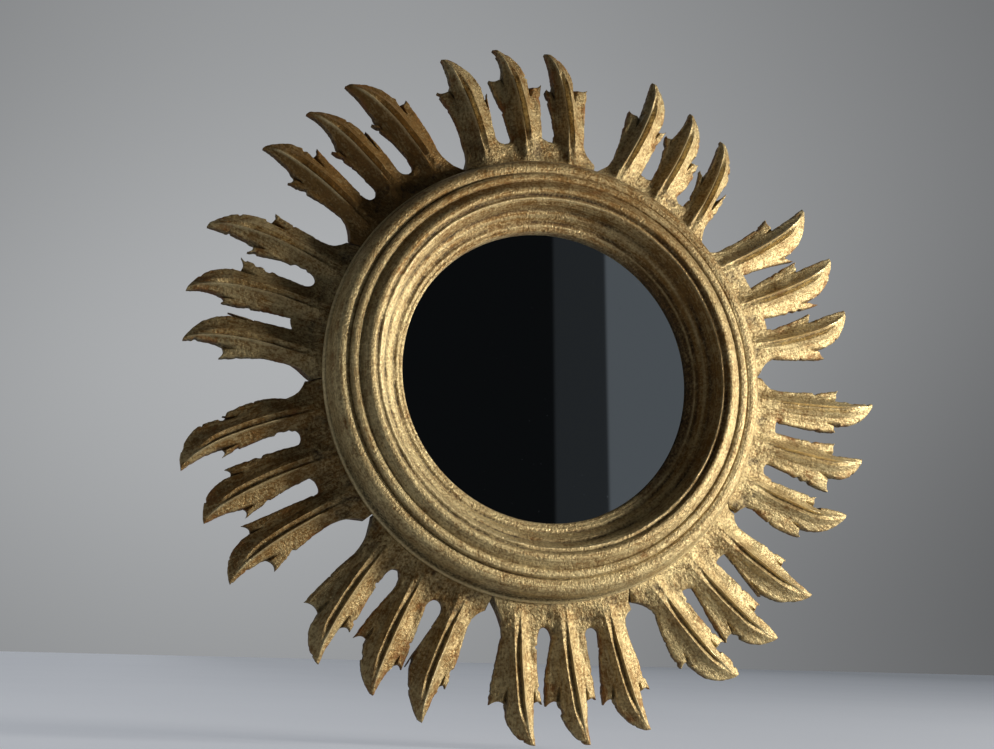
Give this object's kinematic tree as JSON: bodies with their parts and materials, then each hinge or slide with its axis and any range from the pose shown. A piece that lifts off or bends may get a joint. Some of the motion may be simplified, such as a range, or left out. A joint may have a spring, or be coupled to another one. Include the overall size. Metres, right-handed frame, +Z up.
{
  "type": "sunburst mirror",
  "caption": "Round wall mirror in a turned giltwood moulding ring with carved, swept leaf rays all round, hung by a folding eye at the back.",
  "frame": {"origin": "where the mirror's axis meets the wall, in the plane of the ray blocks' backs", "axes": "+Z up, +X to the right seen from the front, +Y into the wall; the mirror faces -Y"},
  "size_m": [0.5292, 0.049, 0.5194],
  "materials": {
    "gilded_wood": "worn gold leaf over carved wood",
    "mirror_glass": "silvered flat glass",
    "hardboard": "plain hardboard",
    "steel_pins": "dull steel",
    "steel_screws": "dull steel",
    "brass_strap": "tarnished brass",
    "brass_eye": "tarnished brass"
  },
  "bodies": {
    "frame": {"moulding_ring": "gilded_wood", "ray_block_01": "gilded_wood", "ray_block_02": "gilded_wood", "ray_block_03": "gilded_wood", "ray_block_04": "gilded_wood", "ray_block_05": "gilded_wood", "ray_block_06": "gilded_wood", "ray_block_07": "gilded_wood", "ray_block_08": "gilded_wood", "ray_block_09": "gilded_wood", "ray_block_10": "gilded_wood", "mirror_plate": "mirror_glass", "backing_board": "hardboard", "backing_pins": "steel_pins", "block_screws": "steel_screws", "hanger_strap": "brass_strap", "hanger_screws": "steel_screws"},
    "eye": {"hanger_eye": "brass_eye"}
  },
  "joints": [
    {"name": "eye_hinge", "type": "hinge", "parent": "frame", "child": "eye", "pos_m": [0, -0.00325, 0.1585], "axis": [1, 0, 0], "range_deg": [0, 180]}
  ]
}
